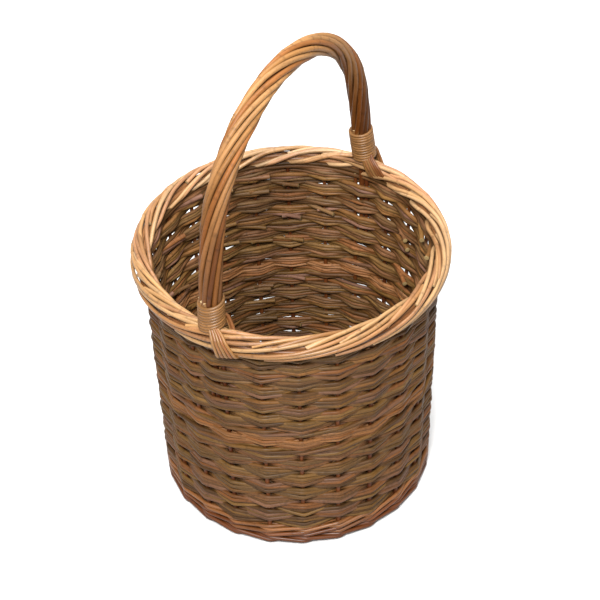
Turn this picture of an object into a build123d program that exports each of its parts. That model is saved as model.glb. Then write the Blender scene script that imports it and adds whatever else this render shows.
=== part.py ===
from build123d import *

import os
from math import asin, cos, radians, sin

# Round willow egg collection basket with one fixed, roped bow handle.
# Sizes are in millimetres. +Z is up, the origin is the centre of the base on the ground,
# and the handle stands in the XZ plane with a foot on -X and a foot on +X.

# ---- driving dimensions -------------------------------------------------------------------
RIM_HEIGHT = 279.0            # ground to the top of the border
RIM_RADIUS = 150.0            # outside of the border
BORDER_HALF_WIDTH = 8.5       # radial half width of the border
BORDER_HALF_HEIGHT = 10.0
BORDER_ROUND = 8.0            # rounding of the border's section

STAKE_COUNT = 24
STAKE_FIRST_ANGLE = 3.75      # from the handle's foot to the next stake, degrees
STAKE_RADIUS = 2.4
STAKE_CIRCLE_FOOT = 128.6     # radius of the circle of stakes at the ground
STAKE_CIRCLE_RIM = 136.2      # the same circle at the rim's height
STAKE_TAIL = 32.0             # length of stake pushed in beside the base sticks
STAKE_BEND = 8.0              # radius where a stake is pricked up at the base's edge
STAKE_TOP = 268.0             # where a stake disappears into the border

WEAVER = 3.4                  # thickness of a weaving rod
WEAVE_CLEARANCE = 0.15        # play between a weaver and a stake
SLEW_HEIGHT = 9.2             # three rods laid one above another
LOWER_SLEW_FIRST = 31.4       # height of the middle of the lowest slewed row
LOWER_SLEW_PITCH = 9.9
LOWER_SLEW_ROWS = 10
UPPER_SLEW_FIRST = 161.0
UPPER_SLEW_PITCH = 9.57
UPPER_SLEW_ROWS = 10

WALE_INSIDE = 4.0             # how far a wale stands inside the circle of stakes
WALE_OUTSIDE = 5.8            # how far it stands outside
WALE_ROUND = 1.6              # rounding of a wale's edges
UPSETT_WALE = (0.0, 26.4)     # bottom and top of the wale round the foot
MIDDLE_WALE = (125.6, 156.0)

BASE_RADIUS = 124.3
BASE_THICKNESS = 12.0
BASE_EYE = 22.0               # radius left open in the weaving over the crossing sticks
STICK_REACH = 121.0           # centre of the base to the end of a stick
STICK_GAP = 8.8               # spacing of the parallel sticks at the crossing
STICK_OPENING = 30.0          # angle to which the outer sticks are opened out, degrees
STICK_TURN = -3.75            # turn of the whole cross against the handle, degrees
PIERCED_WIDTH = 8.0
PIERCED_HEIGHT = 7.2
THROUGH_RADIUS = 2.6

BOW_RADIUS = 6.25             # rod inside the handle
BOW_HALF_SPAN = 136.0         # centre of the basket to the middle of a foot
BOW_SPRING = 274.0            # height where the legs start to curve
BOW_SIDE_RADIUS = 592.0       # gentle curve of each side
BOW_SIDE_SWEEP = 9.0          # angle of that curve, degrees
BOW_LEG_TOP = 262.0           # full thickness ends here, under the border
BOW_LEG_NECK = 250.0          # the leg is cut down to a slim tongue by this height
BOW_LEG_TIP = 180.0
BOW_NECK_RADIUS = 4.0
BOW_TIP_RADIUS = 2.6

ROPE_RADIUS = 10.5            # outside of the strands wound round the bow
ROPE_START = 272.0            # the strands run down into the border
COLLAR_RADIUS = 13.0
COLLAR_LEFT_BOTTOM = 278.0
COLLAR_RIGHT_BOTTOM = 287.0   # this one rides higher, on top of its strap
COLLAR_TURNS = 12
COLLAR_ROD = 2.7
STRAP_THICKNESS = 2.4
STRAP_WIDTH = 11.0
STRAP_OFFSET = 14.0           # from the foot to the strap's middle, towards -Y


def stake_circle(height):
    """Radius of the circle of stakes at a height: the basket opens slightly upwards."""
    return STAKE_CIRCLE_FOOT + (STAKE_CIRCLE_RIM - STAKE_CIRCLE_FOOT) * height / RIM_HEIGHT


def on_circle(radius, angle):
    """Point on a circle round the basket's axis."""
    return (radius * cos(radians(angle)), radius * sin(radians(angle)))


def radial_plane(angle):
    """Upright plane through the axis: local X points outwards and local Y up."""
    outwards = (*on_circle(1, angle), 0)
    normal = (*on_circle(1, angle - 90), 0)
    return Plane(origin=(0, 0, 0), x_dir=outwards, z_dir=normal)


def finish(builder, name):
    """Label a finished piece and write its STEP file."""
    builder.part.label = name
    export_step(builder.part, f"parts/{name}.step")


os.makedirs("parts", exist_ok=True)
stake_angles = [STAKE_FIRST_ANGLE + 360 / STAKE_COUNT * i for i in range(STAKE_COUNT)]
foot_angles = (0, 180)

# ---- stakes: pushed into the base, pricked up and carried to the border ---------------------
stakes = []
for i, angle in enumerate(stake_angles):
    tail_height = BASE_THICKNESS / 2
    foot = stake_circle(tail_height)
    with BuildPart() as stake:
        with BuildLine(radial_plane(angle)) as stake_path:
            FilletPolyline(
                (foot - STAKE_TAIL, tail_height),
                (foot, tail_height),
                (stake_circle(STAKE_TOP), STAKE_TOP),
                radius=STAKE_BEND,
            )
        with BuildSketch(Plane(origin=stake_path.line @ 0, z_dir=stake_path.line % 0)):
            Circle(STAKE_RADIUS)
        sweep(path=stake_path.line)
    finish(stake, f"stake_{i + 1:02d}")
    stakes.append(stake)

# ---- base sticks: three through sticks pass the three pierced ones --------------------------
stick_plane = Plane.XY.offset(BASE_THICKNESS / 2)


def stick_line(side):
    """Middle line of a base stick along local X; the outer ones open out like spokes."""
    if side == 0:
        return Line((-STICK_REACH, 0), (STICK_REACH, 0))
    end = on_circle(STICK_REACH, side * STICK_OPENING)
    crossing = 2.6 * STICK_GAP
    return FilletPolyline(
        (-end[0], end[1]),
        (-crossing, side * STICK_GAP),
        (crossing, side * STICK_GAP),
        end,
        radius=2 * STICK_GAP,
    )


through_sticks = []
for side in (-1, 0, 1):
    with BuildPart() as through_stick:
        with BuildLine(stick_plane.rotated((0, 0, 90 + STICK_TURN))) as through_line:
            stick_line(side)
        with BuildSketch(Plane(origin=through_line.line @ 0, z_dir=through_line.line % 0)):
            Circle(THROUGH_RADIUS)
        sweep(path=through_line.line)
    finish(through_stick, f"base_stick_through_{side + 2}")
    through_sticks.append(through_stick)

pierced_sticks = []
for side in (-1, 0, 1):
    with BuildPart() as pierced_stick:
        with BuildLine(stick_plane.rotated((0, 0, STICK_TURN))) as pierced_line:
            stick_line(side)
        with BuildSketch(
            Plane(
                origin=pierced_line.line @ 0,
                x_dir=(0, 0, 1),
                z_dir=pierced_line.line % 0,
            )
        ):
            RectangleRounded(PIERCED_HEIGHT, PIERCED_WIDTH, 2)
        sweep(path=pierced_line.line)
        for through_stick in through_sticks:
            add(through_stick.part, mode=Mode.SUBTRACT)
    finish(pierced_stick, f"base_stick_pierced_{side + 2}")
    pierced_sticks.append(pierced_stick)

# ---- base weaving: a flat round of paired rods over the sticks ------------------------------
with BuildPart() as base_weave:
    with BuildSketch():
        Circle(BASE_RADIUS)
        Circle(BASE_EYE, mode=Mode.SUBTRACT)
    extrude(amount=BASE_THICKNESS)
    for inner in (*through_sticks, *pierced_sticks, *stakes):
        add(inner.part, mode=Mode.SUBTRACT)
finish(base_weave, "base_weave")

# ---- handle bow: a three-centred arch with a slim tongue down each side ---------------------
top_radius = BOW_SIDE_RADIUS - (BOW_SIDE_RADIUS - BOW_HALF_SPAN) / cos(radians(BOW_SIDE_SWEEP))
top_centre = BOW_SPRING + (BOW_SIDE_RADIUS - top_radius) * sin(radians(BOW_SIDE_SWEEP))
side_centre = BOW_HALF_SPAN - BOW_SIDE_RADIUS


def arch_line(start_height):
    """Middle line of the handle in the XZ plane, from one leg over the top to the other."""
    Line((BOW_HALF_SPAN, start_height), (BOW_HALF_SPAN, BOW_SPRING))
    CenterArc((side_centre, BOW_SPRING), BOW_SIDE_RADIUS, 0, BOW_SIDE_SWEEP)
    CenterArc((0, top_centre), top_radius, BOW_SIDE_SWEEP, 180 - 2 * BOW_SIDE_SWEEP)
    CenterArc((-side_centre, BOW_SPRING), BOW_SIDE_RADIUS, 180 - BOW_SIDE_SWEEP, BOW_SIDE_SWEEP)
    Line((-BOW_HALF_SPAN, BOW_SPRING), (-BOW_HALF_SPAN, start_height))


def tongue_radius(height):
    """Radius of the bow's tongue between its neck and its tip."""
    share = (height - BOW_LEG_TIP) / (BOW_LEG_NECK - BOW_LEG_TIP)
    return BOW_TIP_RADIUS + (BOW_NECK_RADIUS - BOW_TIP_RADIUS) * share


with BuildPart() as handle_bow:
    with BuildLine(Plane.XZ) as bow_path:
        arch_line(BOW_LEG_TOP)
    with BuildSketch(Plane.XY.offset(BOW_LEG_TOP)):
        with Locations((BOW_HALF_SPAN, 0)):
            Circle(BOW_RADIUS)
    sweep(path=bow_path.line)
    for side in (-1, 1):
        sections = (
            (BOW_LEG_TOP, BOW_HALF_SPAN, BOW_RADIUS),
            (BOW_LEG_NECK, stake_circle(BOW_LEG_NECK), BOW_NECK_RADIUS),
            (BOW_LEG_TIP, stake_circle(BOW_LEG_TIP), BOW_TIP_RADIUS),
        )
        for height, reach, radius in sections:
            with BuildSketch(Plane.XY.offset(height)):
                with Locations((side * reach, 0)):
                    Circle(radius)
        loft(ruled=True)
finish(handle_bow, "handle_bow")

# ---- wales: bands of rods twisted round the stakes ------------------------------------------
for name, (low, high) in (("upsett_wale", UPSETT_WALE), ("middle_wale", MIDDLE_WALE)):
    with BuildPart() as wale:
        with BuildSketch(Plane.XZ):
            with BuildLine():
                Polyline(
                    (stake_circle(low) - WALE_INSIDE, low),
                    (stake_circle(low) + WALE_OUTSIDE, low),
                    (stake_circle(high) + WALE_OUTSIDE, high),
                    (stake_circle(high) - WALE_INSIDE, high),
                    close=True,
                )
            profile = make_face()
            fillet(profile.vertices(), WALE_ROUND)
        revolve(axis=Axis.Z)
        for stake in stakes:
            add(stake.part, mode=Mode.SUBTRACT)
    finish(wale, name)

# ---- slewing: rows of three rods that pass the stakes inside and outside by turns -----------
row_heights = [LOWER_SLEW_FIRST + LOWER_SLEW_PITCH * i for i in range(LOWER_SLEW_ROWS)]
row_heights += [UPPER_SLEW_FIRST + UPPER_SLEW_PITCH * i for i in range(UPPER_SLEW_ROWS)]


def row_pins(row, height):
    """Angle and sideways throw of a row at every stake and at the handle's tongues."""
    throw = STAKE_RADIUS + WEAVE_CLEARANCE + WEAVER / 2
    pins = []
    for i, angle in enumerate(stake_angles):
        pins.append((angle, -throw if (i + row) % 2 else throw))
    if height + SLEW_HEIGHT / 2 > BOW_LEG_TIP:
        tongue = tongue_radius(height + SLEW_HEIGHT / 2) + WEAVE_CLEARANCE + WEAVER / 2
        for foot_angle in foot_angles:
            neighbour = min(pins, key=lambda pin: abs(pin[0] - foot_angle))
            pins.append((foot_angle, tongue if neighbour[1] > 0 else -tongue))
    return sorted(pins)


def wavy_outline(pins, radius):
    """Closed chain of arcs that swings to each pin in turn."""
    following = pins[1:] + [(pins[0][0] + 360, pins[0][1])]
    middles = []
    for (angle, throw), (next_angle, next_throw) in zip(pins, following):
        middles.append(on_circle(radius + (throw + next_throw) / 2, (angle + next_angle) / 2))
    for i, (angle, throw) in enumerate(pins):
        ThreePointArc(middles[i - 1], on_circle(radius + throw, angle), middles[i])


for row, height in enumerate(row_heights):
    pins = row_pins(row, height)
    radius = stake_circle(height)
    with BuildPart() as slew_row:
        with BuildSketch(Plane.XY.offset(height - SLEW_HEIGHT / 2)):
            with BuildLine():
                wavy_outline(pins, radius + WEAVER / 2)
            make_face()
            with BuildLine():
                wavy_outline(pins, radius - WEAVER / 2)
            make_face(mode=Mode.SUBTRACT)
        extrude(amount=SLEW_HEIGHT)
    finish(slew_row, f"slew_row_{row + 1:02d}")

# ---- border: the rim, laid down from the tops of the stakes ---------------------------------
border_circle = RIM_RADIUS - BORDER_HALF_WIDTH
border_height = RIM_HEIGHT - BORDER_HALF_HEIGHT
with BuildPart() as border:
    with BuildSketch(Plane.XZ):
        with Locations((border_circle, border_height)):
            RectangleRounded(2 * BORDER_HALF_WIDTH, 2 * BORDER_HALF_HEIGHT, BORDER_ROUND)
    revolve(axis=Axis.Z)
    for inner in (*stakes, handle_bow):
        add(inner.part, mode=Mode.SUBTRACT)
finish(border, "border")

# ---- rope: the strands wound round the bow, as one sleeve -----------------------------------
with BuildPart() as handle_rope:
    with BuildLine(Plane.XZ) as rope_path:
        arch_line(ROPE_START)
    with BuildSketch(Plane.XY.offset(ROPE_START)):
        with Locations((BOW_HALF_SPAN, 0)):
            Circle(ROPE_RADIUS)
    sweep(path=rope_path.line)
    add(handle_bow.part, mode=Mode.SUBTRACT)
    add(border.part, mode=Mode.SUBTRACT)
finish(handle_rope, "handle_rope")

# ---- collars: turns of thin rod wound tightly round the rope above the border ---------------
collars = []
for name, side, bottom in (
    ("collar_left", -1, COLLAR_LEFT_BOTTOM),
    ("collar_right", 1, COLLAR_RIGHT_BOTTOM),
):
    collar_lean = asin((bottom - BOW_SPRING + COLLAR_TURNS * COLLAR_ROD / 2) / BOW_SIDE_RADIUS)
    axis_plane = Plane(
        origin=(side * BOW_HALF_SPAN, 0, bottom),
        x_dir=(cos(collar_lean), 0, side * sin(collar_lean)),
        z_dir=(0, -1, 0),
    )
    with BuildPart() as collar:
        with BuildSketch(axis_plane):
            height = COLLAR_TURNS * COLLAR_ROD
            inner_face = ROPE_RADIUS - 1
            wall = COLLAR_RADIUS - COLLAR_ROD / 2 - inner_face
            with Locations((inner_face + wall / 2, height / 2)):
                Rectangle(wall, height)
            with Locations((inner_face + wall, height / 2)):
                with GridLocations(0, COLLAR_ROD, 1, COLLAR_TURNS):
                    Circle(COLLAR_ROD / 2 + 0.05)
        revolve(axis=Axis(axis_plane.origin, axis_plane.y_dir))
        add(handle_rope.part, mode=Mode.SUBTRACT)
        add(border.part, mode=Mode.SUBTRACT)
    finish(collar, name)
    collars.append(collar)

# ---- straps: bands of thin rod slanting over the border beside each foot --------------------
strap_half_height = BORDER_HALF_HEIGHT + STRAP_THICKNESS
for name, side, collar in (("strap_left", -1, collars[0]), ("strap_right", 1, collars[1])):
    with BuildPart() as strap:
        with BuildSketch(Plane.XZ):
            with Locations((border_circle, border_height)):
                RectangleRounded(
                    2 * (BORDER_HALF_WIDTH + STRAP_THICKNESS),
                    2 * strap_half_height,
                    BORDER_ROUND + STRAP_THICKNESS,
                )
        revolve(axis=Axis.Z)
        with BuildSketch(Plane.XY.offset(border_height - strap_half_height)):
            with Locations((side * border_circle, -STRAP_OFFSET)):
                Rectangle(4 * BORDER_HALF_WIDTH, STRAP_WIDTH)
        extrude(amount=2 * strap_half_height, mode=Mode.INTERSECT)
        for inner in (border, handle_rope, handle_bow, collar, *stakes):
            add(inner.part, mode=Mode.SUBTRACT)
    finish(strap, name)
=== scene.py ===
"""Willow egg basket: every rod of the weave, border, wales and handle, modelled round the CAD frame."""
import math

import bpy
import numpy as np
from mathutils import Matrix, Vector


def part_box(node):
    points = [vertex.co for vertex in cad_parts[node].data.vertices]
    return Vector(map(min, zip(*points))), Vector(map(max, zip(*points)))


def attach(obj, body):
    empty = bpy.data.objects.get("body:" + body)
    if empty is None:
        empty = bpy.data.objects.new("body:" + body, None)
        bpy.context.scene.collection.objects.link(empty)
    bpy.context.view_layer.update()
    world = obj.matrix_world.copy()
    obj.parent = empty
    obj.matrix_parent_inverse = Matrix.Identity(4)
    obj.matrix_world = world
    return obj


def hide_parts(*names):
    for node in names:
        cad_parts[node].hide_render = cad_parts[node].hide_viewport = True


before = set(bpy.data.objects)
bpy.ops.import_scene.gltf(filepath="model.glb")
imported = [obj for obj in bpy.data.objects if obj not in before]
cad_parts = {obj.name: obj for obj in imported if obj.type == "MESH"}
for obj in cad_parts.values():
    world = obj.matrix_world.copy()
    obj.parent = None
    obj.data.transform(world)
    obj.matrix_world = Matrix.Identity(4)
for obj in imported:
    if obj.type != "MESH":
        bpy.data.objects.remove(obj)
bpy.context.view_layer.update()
SEED = 528
rng = np.random.default_rng(SEED)

# ---- sizes, in millimetres, as in the CAD model ---------------------------------------------
MM = 0.001


def node_box(node):
    """Lowest and highest corners of a CAD node, in millimetres."""
    low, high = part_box(node)
    return np.array(low) / MM, np.array(high) / MM


RIM_HEIGHT = node_box("border")[1][2]
RIM_RADIUS = node_box("border")[1][0]
BORDER_BOTTOM = node_box("border")[0][2]
STAKE_COUNT = sum(name.startswith("stake_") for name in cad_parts)
STAKE_STEP = 360 / STAKE_COUNT
STAKE_FIRST_ANGLE = 3.75
STAKE_RADIUS = 1.95
STAKE_CIRCLE_FOOT = 128.6
STAKE_CIRCLE_RIM = 136.2
ROW_NAMES = sorted(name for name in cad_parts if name.startswith("slew_row_"))
ROW_HEIGHTS = [float(np.mean([corner[2] for corner in node_box(name)])) for name in ROW_NAMES]
BOW_HALF_SPAN = 136.0
BOW_SPRING = 274.0
BOW_SIDE_RADIUS = 592.0
BOW_SIDE_SWEEP = math.radians(9.0)
TONGUE_TIP = 180.0
TONGUE_TOP = 280.0
FEET = (0.0, 180.0)

# The camera's side of the basket: the weave sits a little higher there than at the back.
CAMERA_AZIMUTH = -147.57
FRONT_RISE_LOW = 4.0
FRONT_RISE_HIGH = 0.6
FRONT_RISE_FROM = 40.0
FRONT_RISE_OVER = 100.0


def stake_circle(height):
    """Radius of the circle of stakes at a height."""
    return STAKE_CIRCLE_FOOT + (STAKE_CIRCLE_RIM - STAKE_CIRCLE_FOOT) * height / RIM_HEIGHT


def front_share(angle):
    """1 on the camera's side of the basket and -1 at the back."""
    return np.cos(np.radians(np.asarray(angle) - CAMERA_AZIMUTH))


STAKE_SHIFT = -0.5
STAKE_SHIFT_FRONT = 0.95
STAKE_JITTER = 0.7
stake_angles = STAKE_FIRST_ANGLE + STAKE_STEP * np.arange(STAKE_COUNT)
stake_angles = (
    stake_angles
    + STAKE_SHIFT
    + STAKE_SHIFT_FRONT * front_share(stake_angles)
    + rng.uniform(-STAKE_JITTER, STAKE_JITTER, STAKE_COUNT)
)


def ring_point(angle, radius, height):
    """Points at angles in degrees, radii and heights, as an array of rows."""
    angle = np.radians(np.asarray(angle, float))
    radius, height = np.broadcast_to(radius, angle.shape), np.broadcast_to(height, angle.shape)
    return np.stack([radius * np.cos(angle), radius * np.sin(angle), height], -1)


# ---- colours of the rods ---------------------------------------------------------------------
DISPLAY_GAMMA = 2.2


def linear(*colour):
    """Scene-linear colour for 0-255 display values."""
    return tuple((value / 255) ** DISPLAY_GAMMA for value in colour)


BUFF = [linear(131, 99, 66), linear(136, 107, 76), linear(120, 86, 55), linear(125, 90, 62)]
BUFF_DARK = [linear(100, 64, 37), linear(91, 55, 30), linear(108, 73, 45)]
WALE_BUFF = [linear(91, 56, 29), linear(83, 48, 24), linear(98, 63, 35)]
BUFF_FOOT = [linear(71, 35, 12), linear(64, 32, 10), linear(76, 41, 15)]
UNPEELED = [
    linear(78, 55, 40),
    linear(81, 59, 32),
    linear(75, 53, 27),
    linear(81, 55, 29),
    linear(70, 49, 29),
    linear(71, 52, 31),
    linear(83, 53, 29),
    linear(61, 42, 23),
    linear(75, 51, 31),
]
ORANGE = [linear(96, 64, 37), linear(89, 57, 31), linear(101, 70, 43)]
# Stakes, liners and tongues are buff rods; their darker, redder tint is painted shade of the weave round
# them.
STAKE_TINTS_SHADED = [linear(73, 40, 19), linear(79, 44, 21), linear(67, 35, 17)]
# The rope's colours: its own tone at the top, and a darker one with painted shade for the handle's legs.
ROPE_TOP = [linear(122, 87, 52), linear(112, 73, 41), linear(129, 95, 61)]
ROPE_FOOT_SHADED = [linear(66, 33, 9), linear(53, 25, 7), linear(72, 39, 11)]
COLLAR_BUFF = [linear(103, 72, 41), linear(107, 77, 47)]
CUT_FACE = linear(144, 121, 88)
CUT_FACE_DULL = linear(113, 95, 65)


def pick(palette, spread=0.12):
    """One colour of a palette, a little lighter or darker."""
    colour = np.array(palette[rng.integers(len(palette))])
    return colour * (1 + rng.uniform(-spread, spread))


# ---- rods ------------------------------------------------------------------------------------
def resample(points, step):
    """The same path with points spaced evenly, about step apart."""
    points = np.asarray(points, float)
    lengths = np.r_[0, np.cumsum(np.linalg.norm(np.diff(points, axis=0), axis=1))]
    count = max(3, int(round(lengths[-1] / step)) + 1)
    places = np.linspace(0, lengths[-1], count)
    return np.stack([np.interp(places, lengths, points[:, axis]) for axis in range(3)], -1)


def soften(points, passes):
    """Rounds the corners of an evenly spaced path and keeps its ends."""
    points = np.array(points)
    for _ in range(passes):
        points[1:-1] = (points[:-2] + 2 * points[1:-1] + points[2:]) / 4
    return points


def wander(count, size, reach):
    """Smooth random wobble: count values of about the given size, changing over reach samples."""
    knots = max(2, int(count / reach) + 2)
    values = rng.normal(0, size, knots)
    return np.interp(np.linspace(0, knots - 1, count), np.arange(knots), values)


THICKNESS_WANDER = 0.03
TINT_WANDER = 0.07
POINTS_PER_KNOT = 22
KNOT_SWELL = 0.09
KNOT_SHADE = 0.28
DOME = 0.25


class Rods:
    """Collects rods and turns them into one mesh piece."""

    def __init__(self, sides=10):
        self.sides = sides
        self.points, self.faces, self.tints, self.grain = [], [], [], []
        self.count = 0

    def add(self, path, radius, tint, up=(0, 0, 1), cut=CUT_FACE, cut_ends=True):
        """Adds a round rod along a path; radius is one value or (start, end)."""
        path = np.asarray(path, float)
        count = len(path)
        radii = np.linspace(*(radius if isinstance(radius, tuple) else (radius, radius)), count)
        radii = radii * (1 + wander(count, THICKNESS_WANDER, 8))
        tint = np.broadcast_to(tint, (count, 3)) * (1 + wander(count, TINT_WANDER, 14))[:, None]
        knots = np.zeros(count)
        for _ in range(rng.poisson(count / POINTS_PER_KNOT)):
            knots[rng.integers(count)] = 1
        radii = radii * (1 + KNOT_SWELL * knots)
        tint = tint * (1 - KNOT_SHADE * knots)[:, None]
        along = np.gradient(path, axis=0)
        along /= np.linalg.norm(along, axis=1)[:, None]
        up = np.broadcast_to(np.asarray(up, float), path.shape)
        normal = up - (up * along).sum(1)[:, None] * along
        normal /= np.linalg.norm(normal, axis=1)[:, None]
        side = np.cross(along, normal)
        turns = np.linspace(0, 2 * math.pi, self.sides, endpoint=False)
        out = np.cos(turns)[None, :, None] * normal[:, None] + np.sin(turns)[None, :, None] * side[:, None]
        ring = path[:, None] + radii[:, None, None] * out
        length = np.r_[0, np.cumsum(np.linalg.norm(np.diff(path, axis=0), axis=1))]
        offset = rng.uniform(0, 500)
        grain = np.empty((count, self.sides, 3))
        grain[..., 0] = length[:, None] + offset
        grain[..., 1] = np.cos(turns)[None] * radii[:, None] + offset / 3
        grain[..., 2] = np.sin(turns)[None] * radii[:, None]
        base = self.count
        index = base + np.arange(count * self.sides).reshape(count, self.sides)
        a, b = index[:-1], index[1:]
        quads = np.stack([a, np.roll(a, -1, 1), np.roll(b, -1, 1), b], -1).reshape(-1, 4)
        self.faces.extend(quads.tolist())
        self.points.append(ring.reshape(-1, 3))
        self.grain.append(grain.reshape(-1, 3))
        self.tints.append(np.repeat(tint, self.sides, 0))
        self.count += count * self.sides
        for first, place in ((True, 0), (False, -1)):
            middle = path[place] + along[place] * (-1 if first else 1) * radii[place] * DOME
            self._cap(ring[place], middle, cut if cut_ends else tint[place], grain[place], first)

    def _cap(self, ring, middle, colour, grain, first):
        """Closes a rod with a slightly domed end, whose tip is the middle point."""
        base = self.count
        self.points.append(np.vstack([ring, middle]))
        self.grain.append(np.vstack([grain, grain.mean(0)]))
        self.tints.append(np.broadcast_to(colour, (self.sides + 1, 3)))
        for i in range(self.sides):
            j = (i + 1) % self.sides
            pair = (base + j, base + i) if first else (base + i, base + j)
            self.faces.append((*pair, base + self.sides))
        self.count += self.sides + 1

    def piece(self, name, material, slot, nodes):
        """Makes the mesh, gives it its material and lets it stand for CAD nodes."""
        mesh = bpy.data.meshes.new(name)
        points = np.concatenate(self.points) * MM
        mesh.from_pydata(points.tolist(), [], self.faces)
        mesh.update()
        mesh.polygons.foreach_set("use_smooth", [True] * len(mesh.polygons))
        tint = mesh.color_attributes.new("tint", "FLOAT_COLOR", "POINT")
        colours = np.concatenate(self.tints)
        rgba = np.concatenate([colours, np.ones((len(colours), 1))], 1)
        tint.data.foreach_set("color", rgba.ravel())
        grain = mesh.attributes.new("grain", "FLOAT_VECTOR", "POINT")
        grain.data.foreach_set("vector", (np.concatenate(self.grain) * MM).ravel())
        mesh.materials.append(material)
        piece = bpy.data.objects.new(name, mesh)
        bpy.context.scene.collection.objects.link(piece)
        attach(piece, "root")
        if nodes:
            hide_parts(*nodes)
        return piece


# ---- materials -------------------------------------------------------------------------------
# Noise scales along and across a rod, in cycles per metre.
FIBRE_SCALE = (60, 1800, 1800)
PATCH_SCALE = (45, 90, 90)
SPOT_SCALE = (420, 900, 900)
PATCH_SHARE = 0.8
ROUGH_BELOW = 0.08
ROUGH_ABOVE = 0.10
RELIEF_DEPTH = 0.0004


def willow(name, streak, speck, rough, bump, shine):
    """Rod material: the rod's own tint with bark or wood streaks along its length."""
    material = bpy.data.materials.new(name)
    material.use_nodes = True
    nodes, links = material.node_tree.nodes, material.node_tree.links
    shader = nodes["Principled BSDF"]
    tint = nodes.new("ShaderNodeAttribute")
    tint.attribute_name = "tint"
    grain = nodes.new("ShaderNodeAttribute")
    grain.attribute_name = "grain"

    def mapped(scale):
        mapping = nodes.new("ShaderNodeMapping")
        mapping.inputs["Scale"].default_value = scale
        links.new(grain.outputs["Vector"], mapping.inputs["Vector"])
        return mapping.outputs["Vector"]

    def noise(vector, detail):
        texture = nodes.new("ShaderNodeTexNoise")
        texture.inputs["Scale"].default_value = 1.0
        texture.inputs["Detail"].default_value = detail
        links.new(vector, texture.inputs["Vector"])
        return texture.outputs["Fac"]

    def ramp(factor, low, high, from_min=0.3, from_max=0.7):
        spread = nodes.new("ShaderNodeMapRange")
        spread.inputs["From Min"].default_value = from_min
        spread.inputs["From Max"].default_value = from_max
        spread.inputs["To Min"].default_value = low
        spread.inputs["To Max"].default_value = high
        links.new(factor, spread.inputs["Value"])
        return spread.outputs["Result"]

    def product(a, b):
        times = nodes.new("ShaderNodeMath")
        times.operation = "MULTIPLY"
        links.new(a, times.inputs[0])
        links.new(b, times.inputs[1])
        return times.outputs["Value"]

    fibres = noise(mapped(FIBRE_SCALE), 3)
    patches = noise(mapped(PATCH_SCALE), 2)
    spots = noise(mapped(SPOT_SCALE), 1)
    patchy = PATCH_SHARE * streak
    shade = product(ramp(fibres, 1 - streak, 1 + streak), ramp(patches, 1 - patchy, 1 + patchy))
    shade = product(shade, ramp(spots, 1 - speck, 1.0, 0.30, 0.42))
    tinted = nodes.new("ShaderNodeVectorMath")
    tinted.operation = "SCALE"
    links.new(tint.outputs["Color"], tinted.inputs[0])
    links.new(shade, tinted.inputs["Scale"])
    links.new(tinted.outputs["Vector"], shader.inputs["Base Color"])
    links.new(ramp(patches, rough - ROUGH_BELOW, rough + ROUGH_ABOVE), shader.inputs["Roughness"])
    relief = nodes.new("ShaderNodeBump")
    relief.inputs["Strength"].default_value = bump
    relief.inputs["Distance"].default_value = RELIEF_DEPTH
    links.new(fibres, relief.inputs["Height"])
    links.new(relief.outputs["Normal"], shader.inputs["Normal"])
    shader.inputs["Specular IOR Level"].default_value = shine
    return material


buff_willow = willow("buff_willow_rods", streak=0.14, speck=0.22, rough=0.42, bump=0.12, shine=0.28)
bark_willow = willow("unpeeled_willow_rods", streak=0.20, speck=0.30, rough=0.50, bump=0.16, shine=0.13)
rope_willow = willow("rope_willow_rods", streak=0.16, speck=0.25, rough=0.46, bump=0.14, shine=0.12)
stake_willow = willow("stake_willow_rods", streak=0.18, speck=0.25, rough=0.50, bump=0.16, shine=0.2)


# ---- weaving round the stakes ----------------------------------------------------------------
STEP = 1.9
LINER_SIDE = -2.3
LINER_RADIUS = 2.1


def row_height(height, angle):
    """Height of a row at an angle: rows ride up slightly at the front."""
    share = height / RIM_HEIGHT
    rise = FRONT_RISE_LOW * (1 - share) + FRONT_RISE_HIGH * share
    rise = rise * min(1.0, max(0.0, (height - FRONT_RISE_FROM) / FRONT_RISE_OVER))
    return height + rise * front_share(angle)


def apart(angle, other):
    """How far apart two angles are, in degrees."""
    return abs((angle - other + 180) % 360 - 180)


# Room that the weavers leave for the tongues of the handle and the liners beside them.
TONGUE_CLEARANCE = 6.0
TONGUE_WIDE_LOW = 2.6
TONGUE_WIDENS = 1.2
TONGUE_GROWS_OVER = 70.0
LINER_WIDE = 2.2


def upright_rods(height):
    """Angle and radius of everything upright at a height: stakes, bow tongues and liners."""
    uprights = [(angle, STAKE_RADIUS, i) for i, angle in enumerate(stake_angles)]
    if height > TONGUE_TIP - TONGUE_CLEARANCE:
        for foot in FEET:
            nearest = int(np.argmin([apart(angle, foot) for angle in stake_angles]))
            grow = max(0.0, min((height - TONGUE_TIP) / TONGUE_GROWS_OVER, 1.0))
            uprights.append((foot, TONGUE_WIDE_LOW + TONGUE_WIDENS * grow, nearest))
            uprights.append((foot + LINER_SIDE, LINER_WIDE, nearest))
    return sorted(uprights)


# Heights of a row's rods above its middle, spread at an upright and drawn together between two.
LANES = (-4.9, -1.65, 1.65, 4.9)
LANE_SPREAD = 1.03
LANE_DRAW = 0.84
THROW_NEST = 0.82
THROW_NOISE = 0.2
LEVEL_NOISE = 0.6
LEVEL_NOISE_BETWEEN = 0.25
GOLDEN = 0.618
BUTT_FREE = 9.0
BUTT_RADIUS = 2.05
TIP_RADIUS = 1.75
BUTT_LIFT = 1.2
NEST_INNER = 0.35
NEST_OUTER = -0.25
# Ranges in which single rods vary, and how far their butts and tips run past the last upright.
BUTT_VARIES = (-0.1, 0.4)
TIP_VARIES = (-0.15, 0.1)
NEST_VARIES = (-0.25, 0.25)
BUTT_RUNS_BACK = (7, 14)
BUTT_RUNS_IN = (1.5, 3.5)
BUTT_RUNS_UP = (-0.5, 1.5)
TIP_RUNS_ON = (2, 8)
RISE_WANDER = 0.45
REACH_WANDER = 0.0016
SAG_SIZES = (0.5, 0.45, 0.35)
SAG_TURNS = (2, 5, 9)


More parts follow.
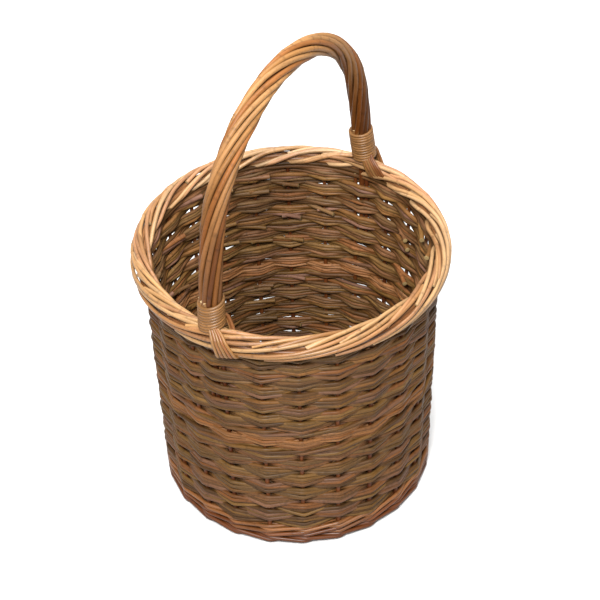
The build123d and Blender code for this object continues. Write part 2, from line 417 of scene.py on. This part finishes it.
def slewed_rod(uprights, parity, first, count, height, lane, radius, lift=0.0, nest=0.0):
    """Path of one rod that passes the uprights outside and inside by turns.

    The rods of a row spread a little over each upright and draw together between two.
    """
    total = len(uprights)
    points = []
    for step in range(count):
        angle, thick, stake = uprights[(first + step) % total]
        angle = angle + 360 * ((first + step) // total)
        outside = (stake + parity) % 2 == 0
        throw = thick + THROW_NEST * radius + nest + rng.normal(0, THROW_NOISE)
        if step == 0:
            throw += lift
        elif stake != last_stake:
            between = (angle + before) / 2
            level = row_height(height, between) + lane * LANE_DRAW + rng.normal(0, LEVEL_NOISE_BETWEEN)
            points.append(ring_point(between, stake_circle(level) + nest, level))
        level = row_height(height, angle) + lane * LANE_SPREAD + rng.normal(0, LEVEL_NOISE)
        points.append(ring_point(angle, stake_circle(level) + (throw if outside else -throw), level))
        before, last_stake = angle, stake
    return np.array(points)


def lane_starts(inside, count, lane_number):
    """Indices of the inside uprights where a lane's rods begin, spread round the basket."""
    turn = int(len(inside) * (GOLDEN * lane_number % 1))
    places = [turn + round(i * len(inside) / count + rng.uniform(-1, 1)) for i in range(count)]
    return sorted({inside[place % len(inside)] for place in places})


# Painted light on the inside of the wall: the bark is made paler and greyer there, more so towards the
# mouth.
INNER_PAINTED_LIGHT = np.array([1.57, 1.66, 2.10])
PAINTED_LIGHT_DEPTHS = (-0.5, 2.0)
PAINTED_LIGHT_HEIGHTS = (50, 150)
PAINTED_LIGHT_AT_FOOT = 0.2


def painted_inner_light(path):
    """Tint of the bark along a path: painted light that makes it paler and greyer inside the basket,
    towards the mouth.
    """
    depth = stake_circle(path[:, 2]) - np.hypot(path[:, 0], path[:, 1])
    share = np.interp(depth, PAINTED_LIGHT_DEPTHS, (0, 1)) * np.interp(path[:, 2], PAINTED_LIGHT_HEIGHTS, (PAINTED_LIGHT_AT_FOOT, 1))
    return 1 + share[:, None] * (INNER_PAINTED_LIGHT - 1)


def lay_lane(rods, uprights, parity, starts, total, height, lane, palette, sag):
    """Lays one lane of rods; each new rod's butt covers the tip of the one before."""
    for k, first in enumerate(starts):
        following = starts[(k + 1) % len(starts)] + (total if k + 1 == len(starts) else 0)
        butt = BUTT_RADIUS + rng.uniform(*BUTT_VARIES)
        tip = TIP_RADIUS + rng.uniform(*TIP_VARIES)
        nest = rng.uniform(*NEST_VARIES) + (NEST_INNER if lane in LANES[::2] else NEST_OUTER)
        middle = (butt + tip) / 2
        reach = following - first + 1
        pins = slewed_rod(uprights, parity, first, reach, height, lane, middle, BUTT_LIFT, nest)
        start, ahead = pins[0], pins[2]
        inwards = -np.array([start[0], start[1], 0]) / np.hypot(start[0], start[1])
        back = (start - ahead) / np.linalg.norm(start - ahead)
        poke = start + back * rng.uniform(*BUTT_RUNS_BACK) + inwards * rng.uniform(*BUTT_RUNS_IN)
        poke = poke + (0, 0, rng.uniform(*BUTT_RUNS_UP))
        onwards = (pins[-1] - pins[-2]) / np.linalg.norm(pins[-1] - pins[-2])
        end = pins[-1] + onwards * rng.uniform(*TIP_RUNS_ON)
        path = soften(resample(np.vstack([poke, pins, end]), STEP), 1)
        count = len(path)
        path[:, 2] += wander(count, RISE_WANDER, 11) + sag(np.arctan2(path[:, 1], path[:, 0]))
        path[:, :2] *= (1 + wander(count, REACH_WANDER, 10))[:, None]
        # The rod's tint carries painted light inside the basket.
        rods.add(path, (butt, tip), pick(palette) * painted_inner_light(path), cut=CUT_FACE_DULL)


def ring_sag():
    """Slow rise and fall of a row round the basket, as a function of the angle in radians."""
    shifts = rng.uniform(0, 2 * math.pi, len(SAG_SIZES))
    waves = list(zip(SAG_SIZES, SAG_TURNS, shifts))
    return lambda angle: sum(size * np.sin(turns * angle + shift) for size, turns, shift in waves)


def slew_row(rods, row, height):
    """One row of rods, laid side by side, round the basket."""
    uprights = upright_rods(height)
    inside = [
        i
        for i, (angle, _, stake) in enumerate(uprights)
        if (stake + row) % 2 == 1 and all(apart(angle, foot) > BUTT_FREE for foot in FEET)
    ]
    sag = ring_sag()
    for k, lane in enumerate(LANES):
        starts = lane_starts(inside, int(rng.integers(1, 3)), len(LANES) * row + k)
        lay_lane(rods, uprights, row % 2, starts, len(uprights), height, lane, UNPEELED, sag)


PACKING_HEIGHT = 256.4
FILLER_HEIGHTS = (261.0, 264.6)
FILLER_CIRCLE = 134.8
FILLER_RADIUS = 2.1
for row, (node, height) in enumerate(zip(ROW_NAMES, ROW_HEIGHTS)):
    slew = Rods()
    slew_row(slew, row, height)
    if row == len(ROW_NAMES) - 1:
        # One more row is packed in under the border.
        slew_row(slew, row + 1, PACKING_HEIGHT)
        for height in FILLER_HEIGHTS:
            around = np.linspace(0, 361, 241)
            circle = FILLER_CIRCLE + wander(len(around), 0.3, 7)
            ring = ring_point(around, circle, height + wander(len(around), 0.4, 7))
            slew.add(ring, FILLER_RADIUS, pick(UNPEELED))
    slew.piece(f"woven_{node}", bark_willow, "unpeeled_willow", [node])


WALE_NEST = 0.9
BUTT_SWELL = 1.12
TIP_THINNING = 0.85
WALE_LEVEL_NOISE = 0.2


def waled_rod(lane, rods_in_wale, first, count, height, radius, inset=0.0, climb=1.0):
    """Path of one rod of a wale: inside one stake, then outside the others, rising as it goes."""
    points = []
    middle = (rods_in_wale - 2) / 2
    for step in range(count):
        stake = first + step
        angle = stake_angles[stake % STAKE_COUNT] + 360 * (stake // STAKE_COUNT)
        phase = (stake - lane) % rods_in_wale
        throw = STAKE_RADIUS + WALE_NEST * radius + rng.normal(0, THROW_NOISE)
        level = row_height(height, angle) + rng.normal(0, WALE_LEVEL_NOISE)
        if phase == 0:
            radius_here = stake_circle(level) - throw
        else:
            radius_here = stake_circle(level) + throw
            level += climb * 2 * radius * (phase - 1 - middle)
        points.append(ring_point(angle, radius_here - inset, level))
    return np.array(points)


def wale_round(rods, rods_in_wale, height, radius, palette, inset=0.0, climb=1.0):
    """One round of a wale, each rod going once round the basket."""
    for lane in range(rods_in_wale):
        first = lane + rods_in_wale * int(rng.integers(STAKE_COUNT // rods_in_wale))
        pins = waled_rod(lane, rods_in_wale, first, STAKE_COUNT + 2, height, radius, inset, climb)
        path = soften(resample(pins, STEP), 3)
        rods.add(path, (radius * BUTT_SWELL, radius * TIP_THINNING), pick(palette), cut=CUT_FACE_DULL)


# The middle wale: a round of waling below and above a band of warmer rods worked as two rows.
BAND_LANES = (-7.9, -4.7, -1.5, 1.7, -1.7, 1.5, 4.7, 7.9)
BAND_ROD = 1.7
BAND_NEST = 0.9
BAND_PACKING_LANES = (-14.2, -11.3, 11.3, 14.2)
BAND_PACKING_NEST = -0.6
BAND_TAPER = (1.85, 1.5)
BAND_PACKING_TAPER = (1.9, 1.7)
MIDDLE_WALE_ROD = 1.9
MIDDLE_WALE_ABOVE_LOW = 3.5
MIDDLE_WALE_BELOW_HIGH = 3.0
middle_low, middle_high = (corner[2] for corner in node_box("middle_wale"))
middle_wale = Rods()
for height in (middle_low + MIDDLE_WALE_ABOVE_LOW, middle_high - MIDDLE_WALE_BELOW_HIGH):
    wale_round(middle_wale, 3, height, MIDDLE_WALE_ROD, UNPEELED)
band_height = (middle_low + middle_high) / 2
band_uprights = upright_rods(band_height)


def band_rod(row, lane, nest):
    """Path of one rod of the band, once round the basket."""
    first = int(rng.integers(STAKE_COUNT))
    pins = slewed_rod(band_uprights, row, first, STAKE_COUNT + 2, band_height, lane, BAND_ROD, nest=nest)
    return soften(resample(pins, STEP), 2)


# The band's tints and those of its packing rods carry painted light inside the basket.
for k, lane in enumerate(BAND_LANES):
    path = band_rod(int(k >= len(BAND_LANES) // 2), lane, BAND_NEST * (k % 2))
    middle_wale.add(path, BAND_TAPER, pick(ORANGE) * painted_inner_light(path), cut=CUT_FACE_DULL)
# Four more rods pack the gaps between the band and the waling.
for lane in BAND_PACKING_LANES:
    path = band_rod(int(lane > 0), lane, BAND_PACKING_NEST)
    tint = pick(UNPEELED) * painted_inner_light(path)
    middle_wale.add(path, BAND_PACKING_TAPER, tint, cut=CUT_FACE_DULL)
middle_wale.piece("woven_middle_wale", bark_willow, "band_willow", ["middle_wale"])

# Rounds of the upsett, from the top down: rods, height, rod radius, colours, inset and climb.
UPSETT_ROUNDS = (
    (3, 22.2, 1.85, WALE_BUFF, 0.0, 1.35),
    (3, 15.2, 1.85, WALE_BUFF + BUFF_FOOT, 0.0, 1.35),
    (3, 6.4, 2.1, BUFF_FOOT, 0.6, -0.9),
    (2, 4.2, 1.7, BUFF_FOOT, 3.0, 0.0),
)
upsett_wale = Rods()
for wale in UPSETT_ROUNDS:
    wale_round(upsett_wale, *wale)
upsett_wale.piece("woven_upsett_wale", buff_willow, "buff_willow", ["upsett_wale"])

# ---- stakes ----------------------------------------------------------------------------------
STAKE_TOP = 262.0
STAKE_TAPER = (2.4, 1.8)
STAKE_BEND_LEVEL = 6
# The bend at the foot, as distance outside the stake circle there and height.
STAKE_BEND = ((-32.0, 6.3), (-8, 6.3), (-2.5, 8.2), (0, 13.5))
for i, angle in enumerate(stake_angles):
    foot = stake_circle(STAKE_BEND_LEVEL)
    outline = [(foot + outside, z) for outside, z in STAKE_BEND]
    outline += [(stake_circle(z), z) for z in range(30, int(STAKE_TOP), 24)]
    outline.append((stake_circle(STAKE_TOP), STAKE_TOP))
    outline = np.array(outline)
    path = resample(ring_point(np.full(len(outline), angle), outline[:, 0], outline[:, 1]), 3.0)
    path = soften(path, 2)
    sideways = (-math.sin(math.radians(angle)), math.cos(math.radians(angle)), 0)
    stake = Rods()
    # The stake's tint carries painted shade of the weave.
    stake.add(path, STAKE_TAPER, pick(STAKE_TINTS_SHADED), up=sideways)
    stake.piece(f"willow_stake_{i + 1:02d}", stake_willow, "stake_willow", [f"stake_{i + 1:02d}"])

liners = Rods()
for foot in FEET:
    heights = np.linspace(TONGUE_TIP + 4, STAKE_TOP, 30)
    path = ring_point(np.full(len(heights), foot + LINER_SIDE), stake_circle(heights), heights)
    sideways = (-math.sin(math.radians(foot)), math.cos(math.radians(foot)), 0)
    liners.add(path, LINER_RADIUS, pick(STAKE_TINTS_SHADED), up=sideways)
liners.piece("handle_liners", stake_willow, "stake_willow", [])

# ---- border ----------------------------------------------------------------------------------
BORDER_ROD = 1.75
BORDER_HALF_WIDTH = 8.5
border_circle = RIM_RADIUS - BORDER_HALF_WIDTH
border_middle = (RIM_HEIGHT + BORDER_BOTTOM) / 2
border_wide = BORDER_HALF_WIDTH - BORDER_ROD
border_tall = (RIM_HEIGHT - BORDER_BOTTOM) / 2 - BORDER_ROD


def border_point(angle, clock, reach=1.0):
    """Point on the border's section: clock 0 is outside, 90 on top and 180 inside."""
    clock = np.radians(clock)
    radius = border_circle + reach * border_wide * np.cos(clock)
    return ring_point(angle, radius, border_middle + reach * border_tall * np.sin(clock))


STROKE_WANDER = 0.4


def border_stroke(start, sweep, shape):
    """Path of one rod laid along the border, clockwise seen from above.

    The shape lists how far along it is, its distance from the basket's axis and its height.
    """
    share, reach, level = np.array(shape).T
    places = np.linspace(0, 1, 60)
    reach = np.interp(places, share, reach) + wander(len(places), STROKE_WANDER, 16)
    level = np.interp(places, share, level) + wander(len(places), STROKE_WANDER, 16)
    path = ring_point(start - places * sweep, reach, level)
    return soften(resample(path, STEP), 5)


# Painted light on the border: paler at the back, away from the camera, and painted shade at the front.
BORDER_FAR_SIDE_LIGHT = np.array([0.12, 0.16, 0.25])


def painted_far_side_light(path):
    """Tint of the border along a path: painted light, paler on the side away from the camera, and painted
    shade, darker on the near one.
    """
    away = -front_share(np.degrees(np.arctan2(path[:, 1], path[:, 0])))
    return 1 + away[:, None] * BORDER_FAR_SIDE_LIGHT


TOP_STROKE = (
    (0.00, 138.0, 263.5),
    (0.07, 134.4, 265.6),
    (0.19, 132.6, 268.8),
    (0.36, 133.8, 274.2),
    (0.54, 137.0, 277.8),
    (0.74, 141.0, 278.2),
    (0.90, 144.6, 276.6),
    (1.00, 146.6, 273.6),
)
SIDE_STROKE = (
    (0.00, 138.5, 274.4),
    (0.12, 142.4, 277.2),
    (0.30, 146.8, 275.2),
    (0.50, 149.4, 270.4),
    (0.70, 149.4, 265.4),
    (0.86, 148.2, 261.8),
    (1.00, 146.6, 259.8),
)
TOP_SWEEP = 44.0
SIDE_SWEEP = 66.0
SIDE_START = -30.0
SINGLE_SHARE = 0.3
TWIN_START = 0.8
TWIN_BEHIND = 2.1
TWIN_SHORTER = 3.0
TOP_ROD = (2.1, 1.9)
SIDE_ROD = (2.0, 1.7)
border = Rods()
# Border rods take painted light at the back and painted shade at the front.
for i in range(STAKE_COUNT):
    lift = rng.uniform(-0.7, 0.6)
    for twin in range(1 if rng.uniform() < SINGLE_SHARE else 2):
        start = stake_angles[i] + TWIN_START - TWIN_BEHIND * twin + rng.uniform(-0.9, 0.9)
        sweep = TOP_SWEEP - TWIN_SHORTER * twin + rng.uniform(-5, 5)
        path = border_stroke(start, sweep, TOP_STROKE)
        path[:, 2] += lift
        border.add(path, TOP_ROD, pick(BUFF) * painted_far_side_light(path), cut=CUT_FACE)
    start = stake_angles[i] + SIDE_START + rng.uniform(-1, 1)
    path = border_stroke(start, SIDE_SWEEP + rng.uniform(-5, 5), SIDE_STROKE)
    border.add(path, SIDE_ROD, pick(BUFF) * painted_far_side_light(path), cut=CUT_FACE)
# The border's inner rods part round the right foot of the handle.
PARTING_REACH = 135.5
PARTING_LEVEL = 275.6
PARTING_MIDDLE = -1
PARTING_WIDTH = 7
for reach, level, thick in ((129.6, 282.2, 1.9), (129.4, 277.4, 1.8)):
    around = np.linspace(18, -20, 40)
    near = np.exp(-((around - PARTING_MIDDLE) / PARTING_WIDTH) ** 2)
    inwards = PARTING_REACH + (reach - PARTING_REACH) * near
    path = ring_point(around, inwards, PARTING_LEVEL + (level - PARTING_LEVEL) * near)
    border.add(path, thick, pick(BUFF), cut=CUT_FACE)
# Darker rods inside the border, by their place in its section and thickness; their darker tint is painted
# shade in the gaps between the strokes.
BORDER_FILLERS = ((90, 0.1, 2.6), (205, 0.5, 2.6), (325, 0.4, 2.4), (232, 0.85, 1.8), (262, 0.85, 1.8))
angle = np.linspace(0, 360, 241)
for clock, reach, thick in BORDER_FILLERS:
    height = wander(len(angle), 0.4, 9)
    ring = border_point(angle, np.full(len(angle), clock), reach)
    ring[:, 2] += height
    border.add(ring, thick, pick(BUFF_DARK))
border.piece("woven_border", buff_willow, "buff_willow", ["border"])

# ---- handle rope -----------------------------------------------------------------------------
top_radius = BOW_SIDE_RADIUS - (BOW_SIDE_RADIUS - BOW_HALF_SPAN) / math.cos(BOW_SIDE_SWEEP)
top_centre = BOW_SPRING + (BOW_SIDE_RADIUS - top_radius) * math.sin(BOW_SIDE_SWEEP)


def arch():
    """Middle line of the handle, evenly spaced, from the left foot to the right foot."""
    half = []
    for turn in np.linspace(0, BOW_SIDE_SWEEP, 30, endpoint=False):
        reach = BOW_HALF_SPAN - BOW_SIDE_RADIUS * (1 - math.cos(turn))
        half.append((reach, BOW_SPRING + BOW_SIDE_RADIUS * math.sin(turn)))
    for turn in np.linspace(BOW_SIDE_SWEEP, math.pi / 2, 80):
        half.append((top_radius * math.cos(turn), top_centre + top_radius * math.sin(turn)))
    half = np.array(half)
    whole = np.vstack([half * (-1, 1), half[-2::-1]])
    return resample(np.stack([whole[:, 0], np.zeros(len(whole)), whole[:, 1]], -1), ROPE_STEP)


ROPE_STRANDS = 10
ROPE_STRAND_RADIUS = 2.5
ROPE_CIRCLE = 8.3
ROPE_PITCH = 235.0
ROPE_STEP = 2.0
BOW_RADIUS = 6.0
STRAND_TURN_WANDER = 0.06
STRAND_REACH_WANDER = 0.22
# Points of the arch left off at each end, inside the collars.
LEFT_TRIM, RIGHT_TRIM = 3, 6
# Shares of the handle's length, and there the rope's size, its twist and how much painted shade darkens
# it: most on the legs, above all at the right foot.
SIZE_SHARES, SIZES = (0, 0.06, 0.2, 0.5, 1), (0.94, 0.98, 1.04, 1.0, 0.88)
TWIST_SHARES, TWISTS = (0, 0.12, 0.3, 0.7, 0.88, 1), (0.35, 0.6, 1, 1, 0.7, 0.5)
LEG_SHADE_SHARES, LEG_SHADES = (0, 0.16, 0.42, 0.62, 0.85, 1), (0.85, 0.7, 0.0, 0.1, 0.85, 0.95)
spine = arch()[LEFT_TRIM:-RIGHT_TRIM]
along = np.gradient(spine, axis=0)
along /= np.linalg.norm(along, axis=1)[:, None]
across = np.array([0.0, 1.0, 0.0])
outwards = np.cross(across, along)
spine_length = np.r_[0, np.cumsum(np.linalg.norm(np.diff(spine, axis=0), axis=1))]
spine_share = spine_length / spine_length[-1]
rope_size = np.interp(spine_share, SIZE_SHARES, SIZES)
rope_turn = np.cumsum(np.interp(spine_share, TWIST_SHARES, TWISTS) * 2 * math.pi * ROPE_STEP / ROPE_PITCH)
painted_leg_shade = np.interp(spine_share, LEG_SHADE_SHARES, LEG_SHADES)[:, None]
handle_rope = Rods()
for strand in range(ROPE_STRANDS):
    turn = 2 * math.pi * strand / ROPE_STRANDS + rope_turn
    turn = turn + wander(len(spine), STRAND_TURN_WANDER, 25)
    reach = (ROPE_CIRCLE + wander(len(spine), STRAND_REACH_WANDER, 25)) * rope_size
    offset = np.cos(turn)[:, None] * outwards + np.sin(turn)[:, None] * across
    # Each strand blends into the painted shade towards the feet.
    tint = pick(ROPE_TOP, 0.08) * (1 - painted_leg_shade) + pick(ROPE_FOOT_SHADED, 0.05) * painted_leg_shade
    handle_rope.add(spine + reach[:, None] * offset, ROPE_STRAND_RADIUS, tint, up=offset)
handle_rope.piece("handle_rope_strands", rope_willow, "buff_willow", ["handle_rope"])

TONGUE_BEND = 250.0
TONGUE_TAPER = (2.2, 3.4)
bow = Rods(sides=16)
bow.add(spine, BOW_RADIUS, pick(ROPE_FOOT_SHADED), up=across)
for side in (-1, 1):
    heights = np.linspace(TONGUE_TIP, TONGUE_TOP, 40)
    reaches = (stake_circle(TONGUE_TIP), stake_circle(TONGUE_BEND), BOW_HALF_SPAN)
    reach = np.interp(heights, (TONGUE_TIP, TONGUE_BEND, TONGUE_TOP), reaches)
    path = np.stack([side * reach, np.zeros(len(heights)), heights], -1)
    bow.add(path, TONGUE_TAPER, pick(STAKE_TINTS_SHADED), up=across)
bow.piece("handle_bow_rod", stake_willow, "bow_willow", ["handle_bow"])

# ---- collars and straps at the feet ----------------------------------------------------------
POINTS_PER_TURN = 40
TURN_THICKNESS = 0.52
TAILS = 4
FIRST_TAIL = -88.0
TAIL_SPACING = 21.0
TAIL_INSET = 1.6
TAIL_HIDDEN = 5.0
TAIL_ROD = 1.65


def collar(name, bottom, top, turns, radius, lean):
    """Turns of thin rod wound round the foot of the handle, with its cut ends at the top."""
    rods = Rods()
    pitch = np.linalg.norm(np.subtract(top, bottom)) / turns
    share = np.linspace(0, 1, turns * POINTS_PER_TURN)
    middle = np.array(bottom) + share[:, None] * np.subtract(top, bottom)
    turn = share * turns * 2 * math.pi
    tilt = np.radians(lean)
    low_side = math.radians(CAMERA_AZIMUTH + 270)
    path = middle + radius * np.stack([np.cos(turn), np.sin(turn), np.zeros(len(turn))], -1)
    path[:, 2] -= radius * math.tan(tilt) * np.cos(turn - low_side)
    path[:, :2] += wander(len(turn), 0.12, 20)[:, None]
    tint = pick(COLLAR_BUFF) * (1 + wander(len(turn), 0.10, 30))[:, None]
    rods.add(path, pitch * TURN_THICKNESS, tint)
    for k in range(TAILS):
        place = math.radians(CAMERA_AZIMUTH + FIRST_TAIL + TAIL_SPACING * k)
        out = np.array([math.cos(place), math.sin(place), 0])
        foot = np.array(top) + (radius - TAIL_INSET) * out - (0, 0, TAIL_HIDDEN)
        foot[2] -= radius * math.tan(tilt) * math.cos(place - low_side)
        tail = np.array([0.0, 0.0, rng.uniform(7.5, 9.5)]) + out * rng.uniform(-1.5, 1.0)
        swing = np.array([-math.sin(place), math.cos(place), 0]) * rng.uniform(-2, 2)
        path = soften(resample([foot, foot + tail * 0.5, foot + tail + swing], 1.2), 2)
        rods.add(path, TAIL_ROD, pick(COLLAR_BUFF), up=out)
    rods.piece(f"bound_collar_{name}", buff_willow, "buff_willow", [f"collar_{name}"])


collar("left", bottom=(-136.8, -0.5, 279.0), top=(-135.2, 0.0, 306.5), turns=9, radius=11.2, lean=9)
collar("right", bottom=(137.2, -2.2, 286.5), top=(134.4, 0.6, 319.5), turns=11, radius=10.4, lean=6)

# Each run of a strap: number of rods, then its two edges, as points of sideways slide, distance
# from the basket's axis and height.
STRAP_ROD = 1.5
STRAP_CIRCLE = 145.0
STRAP_RUNS = {
    "left": (
        (
            5,
            (
                (3.8, 146.0, 282),
                (6.8, 149.2, 278),
                (10.0, 152.8, 272.6),
                (12.8, 153.2, 264),
                (13.8, 151.8, 256.5),
                (14.2, 145, 253.5),
            ),
            (
                (11.5, 144.5, 283.5),
                (17.2, 147.8, 280.6),
                (22.0, 152.0, 276.2),
                (27.0, 153.2, 269),
                (30.0, 152.0, 261.5),
                (31.0, 145, 257.0),
            ),
        ),
        (
            3,
            ((8.0, 129.0, 289), (10.7, 127.0, 285.5), (17.4, 130.0, 273.3), (19.0, 138.0, 266)),
            ((10.0, 130.0, 290), (13.4, 127.3, 286.3), (20.7, 130.2, 274.3), (22.5, 138.0, 267)),
        ),
    ),
    "right": (
        (
            4,
            (
                (0.0, 146.0, 297),
                (1.0, 149.0, 290),
                (3.0, 152.0, 279),
                (5.0, 151.5, 268),
                (6.0, 146.0, 259),
            ),
            (
                (7.0, 142.0, 297),
                (9.0, 148.0, 292),
                (12.2, 151.5, 277),
                (15.0, 151.6, 268),
                (16.5, 146.0, 259),
            ),
        ),
        (
            6,
            (
                (5.0, 131.5, 294),
                (6.9, 127.5, 288.7),
                (10.0, 128.0, 279.4),
                (13.7, 131.5, 267.8),
                (14.5, 137.0, 264),
            ),
            (
                (12.0, 134.0, 294),
                (16.9, 132.5, 288.5),
                (25.1, 131.0, 283.0),
                (29.8, 132.5, 274.2),
                (30.5, 138.0, 270),
            ),
        ),
    ),
}
for name, side in (("left", -1), ("right", 1)):
    strap = Rods()
    foot = 180.0 if side < 0 else 0.0
    for count, near_edge, far_edge in STRAP_RUNS[name]:
        for i in range(count):
            share = i / (count - 1)
            slide, reach, level = ((1 - share) * np.array(near_edge) + share * np.array(far_edge)).T
            angle = foot - side * np.degrees(slide / STRAP_CIRCLE)
            path = ring_point(angle, reach + rng.uniform(-0.4, 0.4), level)
            path = soften(resample(path, 1.5), 3)
            strap.add(path, STRAP_ROD, pick(COLLAR_BUFF + BUFF_DARK), up=(0, 1, 0), cut_ends=False)
    strap.piece(f"bound_strap_{name}", buff_willow, "buff_willow", [f"strap_{name}"])

# ---- base ------------------------------------------------------------------------------------
BASE_MIDDLE = 6.2
BASE_TURN = 3.75
STICK_REACH = 121.0
STICK_SPREAD = 30.0
STICK_SPACING = 8.8
HUB_HALF = 23.0
for kind, turn, thick in (("pierced", -BASE_TURN, 3.6), ("through", 90 - BASE_TURN, 2.7)):
    for i, side in enumerate((-1, 0, 1)):
        spread = math.radians(STICK_SPREAD * side)
        end = (STICK_REACH * math.cos(spread), STICK_REACH * math.sin(spread))
        beside = STICK_SPACING * side
        outline = [(-end[0], end[1]), (-HUB_HALF, beside), (HUB_HALF, beside), end]
        outline = np.array([(x, y, BASE_MIDDLE) for x, y in outline])
        spin = Matrix.Rotation(math.radians(turn), 3, "Z")
        path = soften(resample(outline, 3), 6) @ np.array(spin).T
        stick = Rods(sides=12)
        stick.add(path, thick, pick(BUFF_DARK))
        node = f"base_stick_{kind}_{i + 1}"
        stick.piece(f"willow_{node}", stake_willow, "stick_willow", [node])

PAIR_RADIUS = 1.45
PAIR_ROUNDS = 27
PAIR_FIRST = 25.5
PAIR_PITCH = 3.62
PAIR_THROW = 4.6
PAIR_STEP = 3.0
PAIR_WOBBLE = 0.5
ROUND_AND_LAP = 362
STICK_ENDS = 12
GROUPED_ROUNDS = (18.9, 22.2)
base = Rods(sides=8)
for round_number in range(PAIR_ROUNDS):
    radius = PAIR_FIRST + round_number * PAIR_PITCH
    for rod in range(2):
        angle = np.linspace(0, ROUND_AND_LAP, int(radius * 6.4 / PAIR_STEP))
        wave = np.cos(np.radians(STICK_ENDS / 2 * (angle + BASE_TURN)) + math.pi * rod)
        height = BASE_MIDDLE + PAIR_THROW * wave
        wobble = radius + PAIR_WOBBLE * np.sin(np.radians(STICK_ENDS / 2 * angle + 90 + 180 * rod))
        base.add(ring_point(angle, wobble, height), PAIR_RADIUS, pick(UNPEELED))
# The two rounds nearest the middle pass over and under the sticks in threes.
for radius in GROUPED_ROUNDS:
    for rod in range(2):
        angle = np.linspace(0, ROUND_AND_LAP, 60)
        wave = np.cos(np.radians(2 * (angle + BASE_TURN)) + math.pi * rod)
        base.add(ring_point(angle, radius, BASE_MIDDLE + PAIR_THROW * wave), PAIR_RADIUS, pick(UNPEELED))
base.piece("woven_base", bark_willow, "unpeeled_willow", ["base_weave"])

# ---- stage, light and camera -----------------------------------------------------------------
WORLD_LIGHT = 0.68
FLOOR_SIZE = 12
FLOOR_GREY = (0.5, 0.5, 0.5, 1)


def stage_floor():
    """Plain pale floor."""
    bpy.ops.mesh.primitive_plane_add(size=FLOOR_SIZE)
    floor = bpy.context.object
    floor.name = "floor"
    material = bpy.data.materials.new("floor_paper")
    material.use_nodes = True
    shader = material.node_tree.nodes["Principled BSDF"]
    shader.inputs["Base Color"].default_value = FLOOR_GREY
    shader.inputs["Roughness"].default_value = 0.9
    floor.data.materials.append(material)


def area_light(name, place, target, size, power, colour=(1, 1, 1)):
    """Soft square light aimed at a point."""
    data = bpy.data.lights.new(name, "AREA")
    data.size = size
    data.energy = power
    data.color = colour
    lamp = bpy.data.objects.new(name, data)
    lamp.location = place
    lamp.rotation_euler = (Vector(target) - Vector(place)).to_track_quat("-Z", "Y").to_euler()
    bpy.context.scene.collection.objects.link(lamp)


CAMERA_LENS = 125.74
CAMERA_REACH = 1.51386
CAMERA_HEIGHT = 1.53158
CAMERA_AIM = (0.0305, 0.0108, 0.1745)
CAMERA_ROLL = -1.937


def camera():
    """Long lens above and in front of the basket."""
    data = bpy.data.cameras.new("camera")
    data.sensor_width = 36
    data.lens = CAMERA_LENS
    data.clip_end = 50
    eye = bpy.data.objects.new("camera", data)
    turn = math.radians(CAMERA_AZIMUTH)
    place = Vector((CAMERA_REACH * math.cos(turn), CAMERA_REACH * math.sin(turn), CAMERA_HEIGHT))
    facing = (Vector(CAMERA_AIM) - place).to_track_quat("-Z", "Y").to_matrix()
    roll = Matrix.Rotation(math.radians(CAMERA_ROLL), 3, "Z")
    eye.matrix_world = Matrix.Translation(place) @ (facing @ roll).to_4x4()
    bpy.context.scene.collection.objects.link(eye)
    bpy.context.scene.camera = eye


stage_floor()
camera()
world = bpy.data.worlds.new("studio")
world.use_nodes = True
world.node_tree.nodes["Background"].inputs["Color"].default_value = (1, 1, 1, 1)
world.node_tree.nodes["Background"].inputs["Strength"].default_value = WORLD_LIGHT
bpy.context.scene.world = world
bpy.context.scene.view_settings.view_transform = "Standard"
area_light(
    "key", place=(-1.27, -0.65, 2.08), target=(0, 0, 0.2), size=0.55, power=142, colour=(1, 0.99, 0.97)
)
area_light("top", place=(0.25, 0.15, 2.4), target=(0, 0, 0.25), size=1.4, power=90)
